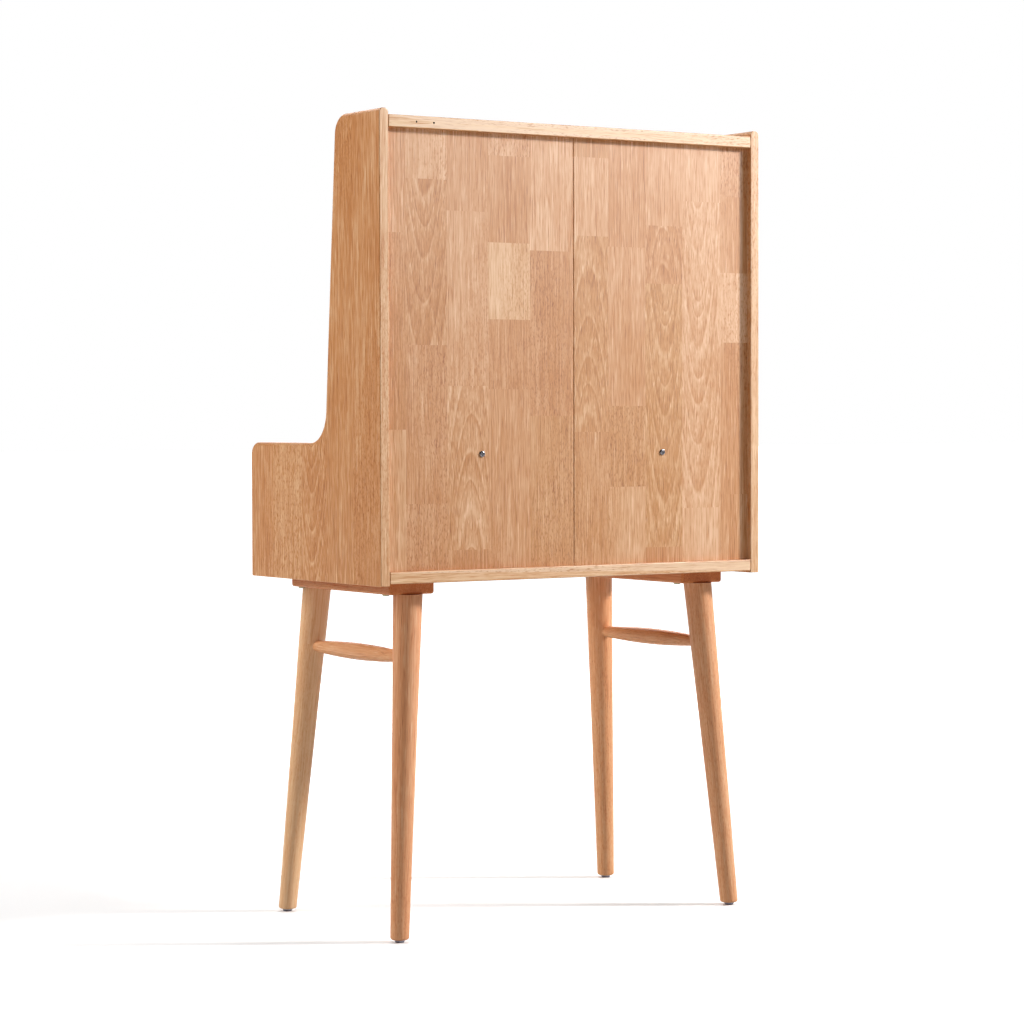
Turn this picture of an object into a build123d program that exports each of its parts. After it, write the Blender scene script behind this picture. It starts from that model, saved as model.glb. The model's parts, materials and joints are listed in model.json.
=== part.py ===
from build123d import *

import os
from math import sqrt

# Secretary desk: a solid-wood case on splayed legs. The case has two stepped side panels.
# Behind their sloping upper front edges a drop-front flap closes a shallow hutch, and two
# drawers run in the deeper lower part. The front faces -Y and the back +Y, so "left" is -X.
# The origin is on the floor, below the middle of the case. All sizes are in millimetres.

# ---------------------------------------------------------------- driving dimensions
WIDTH = 700.0
DEPTH = 400.0
HEIGHT = 1230.0
SIDE_THICK = 16.0
BOARD_THICK = 18.0

# Side panel outline. Its top and front rims are well rounded, its back rims just eased and
# the rims of its underside left square
CASE_BOTTOM = 530.0
STEP_TOP = 740.0
DEPTH_AT_TOP = 132.0
DEPTH_AT_STEP = 167.0
TOP_CORNER_R = 30.0
CONCAVE_R = 50.0
STEP_CORNER_R = 20.0
BOTTOM_CORNER_R = 9.0
SIDE_ROUND = 6.5
BLANK_SPARE = 30.0
BLANK_CORNER_R = 10.0
BOARD_EASE = 1.5

# Horizontal boards: heights of their undersides, and their rounded front edges
BOTTOM_BOARD_Z = 533.0
DECK_Z = 714.0
TOP_BOARD_Z = 1203.0
FRONT_SETBACK = 3.0
DECK_NOSE_R = 7.0
TOP_BOARD_DEPTH = 130.0
TOP_BOARD_NOSE_R = 12.0

# Two pilot holes for a wall strap, in the back edge of the top board
STRAP_HOLE_R = 1.5
STRAP_HOLE_SPACING = 30.0
STRAP_HOLE_X = 271.0
STRAP_HOLE_DEPTH = 12.0

# Back panels: two halves in one groove, with a V joint between them
BACK_THICK = 8.0
BACK_RECESS = 10.0
GROOVE_DEPTH = 5.0
GROOVE_GAP = 0.15
SEAM_GAP = 0.4
SEAM_CHAMFER = 1.2
BACK_SCREW_X = 167.0
BACK_SCREW_R = 2.0
BACK_SCREW_LENGTH = 30.0
BACK_SCREW_HEAD_R = 4.8
BACK_SCREW_HEAD = 2.2
BACK_SCREW_DOME = 1.8
RECESS_WIDTH = 1.0
RECESS_LENGTH = 5.0
RECESS_DEPTH = 1.2

# Hutch interior
SHELF_Z = 958.0
SHELF_THICK = 14.0
HOUSING_DEPTH = 3.0
HOUSING_GAP = 0.1
PIGEONHOLE_X = 111.0
PIGEONHOLE_THICK = 10.0
PIGEONHOLE_EASE = 1.0
INNER_GAP = 3.0

# Drop-front flap
FLAP_THICK = 18.0
FLAP_SIDE_GAP = 2.0
FLAP_END_GAP = 2.0
NOTCH_WIDTH = 100.0
NOTCH_DEPTH = 20.0
NOTCH_R = 16.0
STOP_INNER_X = 180.0
STOP_OUTER_X = 300.0
STOP_SECTION = 16.0
STOP_GAP = 0.3
CATCH_X = 240.0
CATCH_Z = 1192.5
MAGNET_R = 4.0
MAGNET_LENGTH = 5.0
STRIKE_R = 5.0
STRIKE_THICK = 1.5
STRIKE_SCREW_R = 1.2
STRIKE_SCREW_HEAD_R = 2.4
STRIKE_SCREW_LENGTH = 10.0
BUMPER_R = 6.0
BUMPER_HEIGHT = 4.0
BUMPER_EASE = 0.8
BUMPER_XS = (-300.0, -110.0, 110.0, 300.0)
BUMPER_Y = -168.0

# Butt hinges: each pin lies in front of the flap's foot, level with the joint
HINGE_X = 235.0
HINGE_LENGTH = 70.0
HINGE_LEAF = 16.0
HINGE_LEAF_THICK = 1.5
KNUCKLE_R = 3.0
KNUCKLE_COUNT = 5
KNUCKLE_GAP = 0.3
PIN_R = 1.5
PIN_TIP_R = 2.4
PIN_TIP = 1.2
PIN_TIP_GAP = 0.2
HINGE_CLEARANCE = 0.2
HINGE_SCREW_R = 1.4
HINGE_SCREW_HEAD_R = 2.7
HINGE_SCREW_LENGTH = 12.0
HINGE_SCREW_SPACING = 24.0
HINGE_SCREW_SETBACK = 10.0

# Drawers
DIVIDER_THICK = 16.0
DRAWER_GAP = 2.0
DRAWER_FRONT_THICK = 18.0
DRAWER_SIDE_THICK = 12.0
DRAWER_SIDE_GAP = 6.0
DRAWER_SIDE_Z = 558.0
DRAWER_SIDE_HEIGHT = 125.0
DRAWER_BOX_BACK = 165.0
DRAWER_BOTTOM_Z = 566.0
DRAWER_BOTTOM_THICK = 6.0
DRAWER_BOTTOM_LAP = 5.0
DRAWER_BOTTOM_GAP = 0.1
DRAWER_EASE = 1.0
RUNNER_Z = 620.0
RUNNER_HEIGHT = 15.4
RUNNER_THICK = 11.3
RUNNER_SLOT_HEIGHT = 16.0
RUNNER_SLOT_DEPTH = 6.0
RUNNER_FRONT = -175.0
RUNNER_BACK = 168.0
RUNNER_SCREW_YS = (-140.0, 0.0, 140.0)
RUNNER_SCREW_LENGTH = 18.0
RUNNER_SCREW_R = 1.8
RUNNER_SCREW_HEAD_R = 3.6

# Dowels, and the fit of everything that sits in a hole
FIT_GAP = 0.05
DOWEL_R = 4.0
DOWEL_LENGTH = 30.0
DOWEL_IN_SIDE = 10.0
TOP_DOWEL_YS = (95.0, 130.0, 165.0)
LOW_DOWEL_YS = (-160.0, -60.0, 60.0, 150.0)
SHELF_DOWEL_YS = (100.0, 155.0)
DIVIDER_DOWEL_YS = (-150.0, 0.0, 130.0)
DRAWER_DOWEL_R = 3.0
DRAWER_DOWEL_LENGTH = 26.0
DRAWER_DOWEL_IN_FRONT = 11.0
DRAWER_DOWEL_IN_SIDE = 9.0
DRAWER_FRONT_DOWEL_ZS = (590.0, 650.0, 672.0)
DRAWER_BACK_DOWEL_ZS = (590.0, 650.0)

# Base: rails, legs, stretchers and glides
BASE_Y = 7.0
RAIL_X = 270.0
RAIL_WIDTH = 79.0
RAIL_LENGTH = 300.0
RAIL_Z = 514.0
RAIL_CORNER_R = 4.5
RAIL_EASE = 4.0
LEG_TOP_SPREAD = 137.0
LEG_FOOT_SPREAD = 171.0
LEG_FOOT_X = 307.0
LEG_TOP_R = 22.25
LEG_FOOT_R = 14.0
LEG_FOOT_EASE = 3.5
LEG_SPARE = 10.0
GLIDE_R = 7.5
GLIDE_HEIGHT = 4.0
GLIDE_EASE = 1.0
GLIDE_NAIL_R = 1.5
GLIDE_NAIL = 14.0
STRETCHER_Z = 420.0
STRETCHER_END_R = 8.75
STRETCHER_MID_R = 13.0
STRETCHER_TENON = 12.0
STRETCHER_STRAIGHT = 16.0
LEG_BOLT_R = 4.0
LEG_BOLT_IN_LEG = 40.0
LEG_BOLT_IN_RAIL = 14.0
LEG_INSERT_R = 6.0
RAIL_SCREW_OFFSET = 28.0
RAIL_SCREW_YS = (127.0, -129.0)
RAIL_SCREW_R = 3.0
RAIL_SCREW_HEAD_R = 5.5
RAIL_SCREW_HEAD = 2.5
RAIL_SCREW_DOME = 1.6
RAIL_SCREW_SOCKET_R = 2.0
RAIL_SCREW_SOCKET = 1.5
CASE_INSERT_R = 5.0
CASE_INSERT_LENGTH = 12.0

# ---------------------------------------------------------------- derived places
SIDES = {"left": -1, "right": 1}
ENDS = {"front": -1, "back": 1}
FRONT_Y = -DEPTH / 2
BACK_Y = DEPTH / 2
INNER_X = WIDTH / 2 - SIDE_THICK
BOARD_FRONT_Y = FRONT_Y + FRONT_SETBACK
PANEL_BACK_Y = BACK_Y - BACK_RECESS
PANEL_FRONT_Y = PANEL_BACK_Y - BACK_THICK
BOTTOM_BOARD_TOP = BOTTOM_BOARD_Z + BOARD_THICK
DECK_TOP = DECK_Z + BOARD_THICK
SHELF_TOP = SHELF_Z + SHELF_THICK

# The upper front edge leans back by LEAN for each millimetre of height
LEAN = (DEPTH_AT_STEP - DEPTH_AT_TOP) / (HEIGHT - STEP_TOP)
COS_LEAN = 1 / sqrt(1 + LEAN * LEAN)
FLAP_INWARD = (0, COS_LEAN, -LEAN * COS_LEAN)
FLAP_INSIDE = FRONT_SETBACK + FLAP_THICK


def slope_y(z, behind=0.0):
    """Y at height z of a plane that lies `behind` the sloping upper front edge."""
    return BACK_Y - DEPTH_AT_TOP - (HEIGHT - z) * LEAN + behind / COS_LEAN


HINGE_Z = DECK_TOP + FLAP_END_GAP / 2
HINGE_Y = slope_y(HINGE_Z, FRONT_SETBACK - KNUCKLE_R - HINGE_CLEARANCE)
DRAWER_INNER_X = DIVIDER_THICK / 2 + DRAWER_SIDE_GAP
DRAWER_OUTER_X = INNER_X - DRAWER_SIDE_GAP
DRAWER_BACK_OF_FRONT = BOARD_FRONT_Y + DRAWER_FRONT_THICK
DRAWER_SIDE_TOP = DRAWER_SIDE_Z + DRAWER_SIDE_HEIGHT
ON_BASE = (Align.CENTER, Align.CENTER, Align.MIN)


# ---------------------------------------------------------------- helpers
def block(x0, x1, y0, y1, z0, z1):
    """A rectangular solid between two corners, given in either order along X."""
    size = (abs(x1 - x0), y1 - y0, z1 - z0)
    return Pos((x0 + x1) / 2, (y0 + y1) / 2, (z0 + z1) / 2) * Box(*size)


def board(x0, x1, y0, y1, z0, z1, ease=DRAWER_EASE):
    """A rectangular board with all its edges eased."""
    solid = block(x0, x1, y0, y1, z0, z1)
    return fillet(solid.edges(), ease)


def plank(outline, radii, x0, x1, ease=BOARD_EASE):
    """A board with a rounded (y, z) outline, from x0 to x1, with the rims of its ends eased."""
    line = FilletPolyline(*outline, radius=list(radii), close=True)
    solid = extrude(Plane.YZ.offset(x0) * make_face(line), x1 - x0)
    rims = solid.edges().filter_by(Plane.YZ)
    return fillet(rims, ease)


def rod(start, end, radius):
    """A round bar between two points."""
    axis = Vector(*end) - Vector(*start)
    return Plane(origin=start, z_dir=axis) * Cylinder(radius, axis.length, align=ON_BASE)


def flat_head_screw(top, direction, radius, head_radius, length, gap=0.0):
    """A screw with its countersunk head flush at `top`. With a gap it is the hole for it."""
    head = Cone(head_radius + gap, radius + gap, head_radius - radius, align=ON_BASE)
    shank = Cylinder(radius + gap, length + gap, align=ON_BASE)
    return Plane(origin=top, z_dir=direction) * (head + shank)


def dowel(joint, direction, radius, length, behind, gap=0.0):
    """A dowel reaching `behind` the joint face and on past it, or with a gap its bore."""
    way = Vector(*direction)
    start = Vector(*joint) - way * (behind + gap)
    end = Vector(*joint) + way * (length - behind + gap)
    return rod(start, end, radius + gap)


def save(name, *solids):
    """Writes one node. Several solids become one group of separate solids."""
    shape = solids[0] if len(solids) == 1 else Compound(children=list(solids))
    export_step(shape, f"parts/{name}.step")


# ---------------------------------------------------------------- fasteners inside the case
def case_dowels(gap=0.0):
    """Dowels from the side panels into the boards, and from the boards into the divider."""
    rows = {
        TOP_BOARD_Z + BOARD_THICK / 2: TOP_DOWEL_YS,
        DECK_Z + BOARD_THICK / 2: LOW_DOWEL_YS,
        BOTTOM_BOARD_Z + BOARD_THICK / 2: LOW_DOWEL_YS,
        SHELF_Z + SHELF_THICK / 2: SHELF_DOWEL_YS,
    }
    joints = [
        ((side * INNER_X, y, z), (-side, 0, 0))
        for z, ys in rows.items()
        for y in ys
        for side in SIDES.values()
    ]
    for y in DIVIDER_DOWEL_YS:
        joints.append(((0, y, DECK_Z), (0, 0, -1)))
        joints.append(((0, y, BOTTOM_BOARD_TOP), (0, 0, 1)))
    return [dowel(at, way, DOWEL_R, DOWEL_LENGTH, DOWEL_IN_SIDE, gap) for at, way in joints]


def runner_walls():
    """The four walls that carry a drawer runner: name, wall face X, and way into the bay."""
    walls = {}
    for name, side in SIDES.items():
        walls[f"{name}_outer"] = (side * INNER_X, -side)
        walls[f"{name}_inner"] = (side * DIVIDER_THICK / 2, side)
    return walls


def runner_screws(gap=0.0):
    """The screws that hold the drawer runners, or with a gap the holes for them."""
    screws = []
    for wall, way in runner_walls().values():
        for y in RUNNER_SCREW_YS:
            head = (wall + way * RUNNER_THICK, y, RUNNER_Z)
            screws.append(
                flat_head_screw(head, (-way, 0, 0), RUNNER_SCREW_R, RUNNER_SCREW_HEAD_R,
                                RUNNER_SCREW_LENGTH, gap)
            )
    return screws


def back_panel_screw(side):
    """A truss-head screw with a cross recess, from the back panel into the deck's back edge."""
    z = DECK_Z + BOARD_THICK / 2
    seat = (side * BACK_SCREW_X, PANEL_BACK_Y, z)
    head = Cylinder(BACK_SCREW_HEAD_R, BACK_SCREW_HEAD, align=ON_BASE)
    head = fillet(head.edges().sort_by(Axis.Z)[-1], BACK_SCREW_DOME)
    cross = Box(RECESS_WIDTH, RECESS_LENGTH, 2 * RECESS_DEPTH)
    cross += Box(RECESS_LENGTH, RECESS_WIDTH, 2 * RECESS_DEPTH)
    head -= Pos(0, 0, BACK_SCREW_HEAD) * cross
    shank = rod(seat, (seat[0], PANEL_BACK_Y - BACK_SCREW_LENGTH, z), BACK_SCREW_R)
    return Plane(origin=seat, z_dir=(0, 1, 0)) * head + shank


def back_panel_screw_hole(side):
    """The hole for a back panel screw."""
    z = DECK_Z + BOARD_THICK / 2
    end = (side * BACK_SCREW_X, PANEL_BACK_Y - BACK_SCREW_LENGTH - FIT_GAP, z)
    return rod((end[0], BACK_Y, z), end, BACK_SCREW_R + FIT_GAP)


CASE_BORES = case_dowels(FIT_GAP) + runner_screws(FIT_GAP)
BACK_SCREW_HOLES = [back_panel_screw_hole(side) for side in SIDES.values()]
BACK_GROOVE = block(
    -INNER_X - GROOVE_DEPTH,
    INNER_X + GROOVE_DEPTH,
    PANEL_FRONT_Y - GROOVE_GAP,
    PANEL_BACK_Y + GROOVE_GAP,
    BOTTOM_BOARD_TOP - GROOVE_DEPTH,
    TOP_BOARD_Z + GROOVE_DEPTH,
)


# ---------------------------------------------------------------- case
def side_blank(x0):
    """The rounded blank of a side panel, which reaches past the panel's back and underside."""
    outline = {
        (BACK_Y + BLANK_SPARE, CASE_BOTTOM - BLANK_SPARE): BLANK_CORNER_R,
        (BACK_Y + BLANK_SPARE, HEIGHT): BLANK_CORNER_R,
        (slope_y(HEIGHT), HEIGHT): TOP_CORNER_R,
        (slope_y(STEP_TOP), STEP_TOP): CONCAVE_R,
        (FRONT_Y, STEP_TOP): STEP_CORNER_R,
        (FRONT_Y, CASE_BOTTOM - BLANK_SPARE): BLANK_CORNER_R,
    }
    return plank(outline.keys(), outline.values(), x0, x0 + SIDE_THICK, SIDE_ROUND)


def side_panel(side):
    """A stepped side panel, grooved for the back panels and bored for dowels and screws."""
    x0 = INNER_X if side > 0 else -WIDTH / 2
    limits = block(x0, x0 + SIDE_THICK, FRONT_Y, BACK_Y, CASE_BOTTOM, HEIGHT)
    front_bottom = limits.edges().filter_by(Axis.X).group_by(Axis.Y)[0].sort_by(Axis.Z)[0]
    panel = side_blank(x0) & fillet(front_bottom, BOTTOM_CORNER_R)
    panel = fillet(panel.faces().sort_by(Axis.Y)[-1].edges(), BOARD_EASE)
    return panel - BACK_GROOVE - CASE_BORES


def case_board(front_y, back_y, z, thick, nose_r=BOARD_EASE, low_nose_r=BOARD_EASE):
    """A horizontal board between the side panels, bored for its dowels."""
    outline = {
        (front_y, z): low_nose_r,
        (front_y, z + thick): nose_r,
        (back_y, z + thick): BOARD_EASE,
        (back_y, z): BOARD_EASE,
    }
    return plank(outline.keys(), outline.values(), -INNER_X, INNER_X) - CASE_BORES


def top_board():
    """The top board, with two pilot holes in its back edge."""
    front_y = BACK_Y - TOP_BOARD_DEPTH
    solid = case_board(front_y, BACK_Y, TOP_BOARD_Z, BOARD_THICK, TOP_BOARD_NOSE_R)
    for offset in (-STRAP_HOLE_SPACING / 2, STRAP_HOLE_SPACING / 2):
        mouth = (STRAP_HOLE_X + offset, BACK_Y, TOP_BOARD_Z + BOARD_THICK / 2)
        end = (mouth[0], BACK_Y - STRAP_HOLE_DEPTH, mouth[2])
        solid -= rod(mouth, end, STRAP_HOLE_R)
    return solid - BACK_GROOVE


def pigeonhole_housing(side, z0, z1):
    """The shallow housing that takes one end of a pigeonhole divider."""
    half = PIGEONHOLE_THICK / 2 + HOUSING_GAP
    front_y = slope_y(z0, FLAP_INSIDE + INNER_GAP) - HOUSING_GAP
    x = side * PIGEONHOLE_X
    return block(x - half, x + half, front_y, PANEL_FRONT_Y, z0, z1)


def deck_board():
    """The writing deck, with hinge recesses, divider housings and bores for its screws."""
    solid = case_board(BOARD_FRONT_Y, PANEL_FRONT_Y, DECK_Z, BOARD_THICK, DECK_NOSE_R)
    for side in SIDES.values():
        solid -= pigeonhole_housing(side, DECK_TOP - HOUSING_DEPTH, DECK_TOP)
        solid -= hinge_recess(side, -1)
        solid -= knuckle_trench(side)
    return solid - BACK_SCREW_HOLES - hinge_screws(-1, FIT_GAP)


def bottom_board():
    """The case bottom, grooved for the back panels and bored for the rail screws' inserts."""
    solid = case_board(BOARD_FRONT_Y, BACK_Y, BOTTOM_BOARD_Z, BOARD_THICK)
    bores = [
        rod((x, y, BOTTOM_BOARD_Z), (x, y, BOTTOM_BOARD_Z + CASE_INSERT_LENGTH + FIT_GAP),
            CASE_INSERT_R + FIT_GAP)
        for x, y in rail_screw_places()
    ]
    return solid - BACK_GROOVE - bores


def centre_divider():
    """The upright between the two drawers."""
    half = DIVIDER_THICK / 2
    solid = board(-half, half, BOARD_FRONT_Y, PANEL_FRONT_Y, BOTTOM_BOARD_TOP, DECK_Z)
    return solid - CASE_BORES


def back_panel(side):
    """One half of the back, with a chamfer along its meeting edge and a screw hole."""
    x0 = side * SEAM_GAP / 2
    x1 = side * (INNER_X + GROOVE_DEPTH - GROOVE_GAP)
    z0 = BOTTOM_BOARD_TOP - GROOVE_DEPTH + GROOVE_GAP
    z1 = TOP_BOARD_Z + GROOVE_DEPTH - GROOVE_GAP
    solid = block(x0, x1, PANEL_FRONT_Y, PANEL_BACK_Y, z0, z1)
    back_rims = solid.edges().filter_by(Axis.Z).group_by(Axis.Y)[-1]
    meeting_edge = back_rims.sort_by(lambda edge: abs(edge.center().X))[0]
    return chamfer(meeting_edge, SEAM_CHAMFER) - BACK_SCREW_HOLES


# ---------------------------------------------------------------- hutch
def hutch_shelf():
    """The shelf across the hutch, housed underneath for the pigeonhole dividers."""
    front_y = slope_y(SHELF_TOP, FLAP_INSIDE + INNER_GAP)
    solid = case_board(front_y, PANEL_FRONT_Y, SHELF_Z, SHELF_THICK)
    for side in SIDES.values():
        solid -= pigeonhole_housing(side, SHELF_Z, SHELF_Z + HOUSING_DEPTH)
    return solid


def pigeonhole_divider(side):
    """An upright between two pigeonholes, housed in the deck and the shelf."""
    z0 = DECK_TOP - HOUSING_DEPTH
    z1 = SHELF_Z + HOUSING_DEPTH
    behind = FLAP_INSIDE + INNER_GAP
    outline = (
        (slope_y(z0, behind), z0),
        (slope_y(z1, behind), z1),
        (PANEL_FRONT_Y, z1),
        (PANEL_FRONT_Y, z0),
    )
    x0 = side * PIGEONHOLE_X - PIGEONHOLE_THICK / 2
    radii = [PIGEONHOLE_EASE] * len(outline)
    return plank(outline, radii, x0, x0 + PIGEONHOLE_THICK, PIGEONHOLE_EASE)


def flap_stop(side):
    """A block under the top board that the closed flap comes up against, bored for a magnet."""
    behind = FLAP_INSIDE + STOP_GAP
    z0 = TOP_BOARD_Z - STOP_SECTION
    outline = (
        (slope_y(z0, behind), z0),
        (slope_y(TOP_BOARD_Z, behind), TOP_BOARD_Z),
        (slope_y(TOP_BOARD_Z, behind) + STOP_SECTION, TOP_BOARD_Z),
        (slope_y(TOP_BOARD_Z, behind) + STOP_SECTION, z0),
    )
    x0, x1 = sorted((side * STOP_INNER_X, side * STOP_OUTER_X))
    radii = [PIGEONHOLE_EASE] * len(outline)
    return plank(outline, radii, x0, x1, PIGEONHOLE_EASE) - catch_magnet(side, FIT_GAP)


def catch_plane(side, behind):
    """A plane parallel to the flap at the height of the catch, facing into the case."""
    origin = (side * CATCH_X, slope_y(CATCH_Z, behind), CATCH_Z)
    return Plane(origin=origin, z_dir=FLAP_INWARD)


def catch_magnet(side, gap=0.0):
    """A round magnet, flush with the front of its stop, or with a gap the bore for it."""
    magnet = Cylinder(MAGNET_R + gap, MAGNET_LENGTH + gap, align=ON_BASE)
    return catch_plane(side, FLAP_INSIDE + STOP_GAP) * magnet


def strike_screw(side, gap=0.0):
    """The screw through a strike disc into the flap, or with a gap the hole for it."""
    plane = catch_plane(side, FLAP_INSIDE)
    outward = tuple(-part for part in FLAP_INWARD)
    return flat_head_screw(plane.origin, outward, STRIKE_SCREW_R, STRIKE_SCREW_HEAD_R,
                           STRIKE_SCREW_LENGTH, gap)


def catch_strike(side):
    """A steel disc let into the flap opposite the magnet."""
    disc = Cylinder(STRIKE_R, STRIKE_THICK, align=ON_BASE)
    return catch_plane(side, FLAP_INSIDE - STRIKE_THICK) * disc - strike_screw(side, FIT_GAP)


def strike_recess(side):
    """The recess in the flap's inner face for a strike disc."""
    pocket = Cylinder(STRIKE_R + FIT_GAP, STRIKE_THICK + FLAP_THICK / 2, align=ON_BASE)
    return catch_plane(side, FLAP_INSIDE - STRIKE_THICK) * pocket


def flap_bumper(x):
    """A felt pad on the deck for the open flap to rest on."""
    pad = Cylinder(BUMPER_R, BUMPER_HEIGHT, align=ON_BASE)
    pad = fillet(pad.edges().sort_by(Axis.Z)[-1], BUMPER_EASE)
    return Pos(x, BUMPER_Y, DECK_TOP) * pad


# ---------------------------------------------------------------- flap and its hinges
def finger_notch(x, y0, y1, top):
    """A round-cornered notch through a panel's top edge."""
    outline = FilletPolyline(
        (x - NOTCH_WIDTH / 2, top + NOTCH_DEPTH),
        (x - NOTCH_WIDTH / 2, top - NOTCH_DEPTH),
        (x + NOTCH_WIDTH / 2, top - NOTCH_DEPTH),
        (x + NOTCH_WIDTH / 2, top + NOTCH_DEPTH),
        radius=[0, NOTCH_R, NOTCH_R, 0],
        close=True,
    )
    return extrude(Plane.XZ.offset(-y1) * make_face(outline), y1 - y0)


def flap_panel():
    """The drop-front flap, parallel to the sloping edge, with its foot parallel to the deck."""
    foot = DECK_TOP + FLAP_END_GAP
    head = TOP_BOARD_Z - FLAP_END_GAP
    drop = FLAP_THICK * LEAN * COS_LEAN
    outline = (
        (slope_y(foot, FRONT_SETBACK), foot),
        (slope_y(head, FRONT_SETBACK), head),
        (slope_y(head - drop, FLAP_INSIDE), head - drop),
        (slope_y(foot, FLAP_INSIDE), foot),
    )
    half = INNER_X - FLAP_SIDE_GAP
    solid = plank(outline, [BOARD_EASE] * len(outline), -half, half)
    solid -= finger_notch(0, slope_y(foot), PANEL_FRONT_Y, head)
    for side in SIDES.values():
        solid -= hinge_recess(side, 1)
        solid -= strike_recess(side)
        solid -= strike_screw(side, FIT_GAP)
    return solid - hinge_screws(1, FIT_GAP)


def leaf_face(way):
    """Height of a closed leaf's joint face: the deck's leaf has way -1, the flap's +1."""
    return HINGE_Z + way * FLAP_END_GAP / 2


def leaf_slab(x0, x1, y0, y1, way, grow=0.0):
    """A piece of hinge leaf, let into the deck or the flap from its joint face."""
    face = leaf_face(way)
    z0, z1 = sorted((face, face + way * HINGE_LEAF_THICK))
    return block(x0 - grow, x1 + grow, y0, y1 + grow, z0, z1)


def hinge_recess(side, way):
    """The recess for a hinge leaf, open towards the pin."""
    x0 = side * HINGE_X - HINGE_LENGTH / 2
    return leaf_slab(x0, x0 + HINGE_LENGTH, HINGE_Y, HINGE_Y + HINGE_LEAF, way, HINGE_CLEARANCE)


def knuckle_trench(side):
    """The round trench in the deck that the hinge's knuckles lie in."""
    reach = HINGE_LENGTH / 2 + PIN_TIP + 2 * PIN_TIP_GAP
    x = side * HINGE_X
    radius = KNUCKLE_R + KNUCKLE_GAP
    return rod((x - reach, HINGE_Y, HINGE_Z), (x + reach, HINGE_Y, HINGE_Z), radius)


def hinge_screws(way, gap=0.0):
    """Six flat-head screws through the deck's or the flap's leaves, or the holes for them."""
    y = HINGE_Y + HINGE_SCREW_SETBACK
    return [
        flat_head_screw((side * HINGE_X + step * HINGE_SCREW_SPACING, y, leaf_face(way)),
                        (0, 0, way), HINGE_SCREW_R, HINGE_SCREW_HEAD_R, HINGE_SCREW_LENGTH, gap)
        for side in SIDES.values()
        for step in (-1, 0, 1)
    ]


def hinge_leaf(side, way):
    """One leaf of a butt hinge with its own knuckles, bored for the pin and its screws."""
    start = side * HINGE_X - HINGE_LENGTH / 2
    pitch = HINGE_LENGTH / KNUCKLE_COUNT
    clear = KNUCKLE_R + KNUCKLE_GAP
    leaf = leaf_slab(start, start + HINGE_LENGTH, HINGE_Y + clear, HINGE_Y + HINGE_LEAF, way)
    first = 0 if way < 0 else 1
    for index in range(first, KNUCKLE_COUNT, 2):
        x0 = start + index * pitch + KNUCKLE_GAP / 2
        x1 = start + (index + 1) * pitch - KNUCKLE_GAP / 2
        leaf += leaf_slab(x0, x1, HINGE_Y, HINGE_Y + clear, way)
        leaf += rod((x0, HINGE_Y, HINGE_Z), (x1, HINGE_Y, HINGE_Z), KNUCKLE_R)
    end = start + HINGE_LENGTH
    bore = rod((start, HINGE_Y, HINGE_Z), (end, HINGE_Y, HINGE_Z), PIN_R + FIT_GAP)
    return leaf - bore - hinge_screws(way, FIT_GAP)


def hinge_pin(side):
    """A hinge pin with a wider tip at each end."""
    half = HINGE_LENGTH / 2 + PIN_TIP_GAP
    x = side * HINGE_X
    pin = rod((x - half, HINGE_Y, HINGE_Z), (x + half, HINGE_Y, HINGE_Z), PIN_R)
    for end in (-1, 1):
        inner = (x + end * half, HINGE_Y, HINGE_Z)
        outer = (x + end * (half + PIN_TIP), HINGE_Y, HINGE_Z)
        pin += rod(inner, outer, PIN_TIP_R)
    return pin


# ---------------------------------------------------------------- drawers
def drawer_runner(wall, way):
    """A hardwood strip screwed to a wall of the drawer bay."""
    half = RUNNER_HEIGHT / 2
    strip = board(wall, wall + way * RUNNER_THICK, RUNNER_FRONT, RUNNER_BACK,
                  RUNNER_Z - half, RUNNER_Z + half)
    return strip - runner_screws(FIT_GAP)


def drawer_dowels(side, gap=0.0):
    """Dowels that join a drawer's sides to its front and back, or with a gap their bores."""
    half = DRAWER_SIDE_THICK / 2
    pins = []
    for face, way in ((DRAWER_INNER_X, 1), (DRAWER_OUTER_X, -1)):
        x = side * (face + way * half)
        for z in DRAWER_FRONT_DOWEL_ZS:
            joint = (x, DRAWER_BACK_OF_FRONT, z)
            pins.append(dowel(joint, (0, 1, 0), DRAWER_DOWEL_R, DRAWER_DOWEL_LENGTH,
                              DRAWER_DOWEL_IN_FRONT, gap))
        inner = side * (face + way * DRAWER_SIDE_THICK)
        for z in DRAWER_BACK_DOWEL_ZS:
            joint = (inner, DRAWER_BOX_BACK - half, z)
            pins.append(dowel(joint, (side * way, 0, 0), DRAWER_DOWEL_R, DRAWER_DOWEL_LENGTH,
                              DRAWER_DOWEL_IN_SIDE, gap))
    return pins


def drawer_bottom(side, gap=0.0):
    """A drawer's thin bottom, or with a gap the groove for it."""
    lap = DRAWER_SIDE_THICK - DRAWER_BOTTOM_LAP
    return block(
        side * (DRAWER_INNER_X + lap - gap),
        side * (DRAWER_OUTER_X - lap + gap),
        DRAWER_BACK_OF_FRONT - DRAWER_BOTTOM_LAP - gap,
        DRAWER_BOX_BACK,
        DRAWER_BOTTOM_Z - gap,
        DRAWER_BOTTOM_Z + DRAWER_BOTTOM_THICK + gap,
    )


def drawer_front(side):
    """A drawer front with a finger notch in its top edge."""
    z0 = BOTTOM_BOARD_TOP + DRAWER_GAP
    z1 = DECK_Z - DRAWER_GAP
    inner = DIVIDER_THICK / 2 + DRAWER_GAP
    outer = INNER_X - DRAWER_GAP
    y0 = BOARD_FRONT_Y
    y1 = DRAWER_BACK_OF_FRONT
    solid = board(side * inner, side * outer, y0, y1, z0, z1, BOARD_EASE)
    solid -= finger_notch(side * (inner + outer) / 2, y0, y1, z1)
    return solid - drawer_bottom(side, DRAWER_BOTTOM_GAP) - drawer_dowels(side, FIT_GAP)


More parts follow.
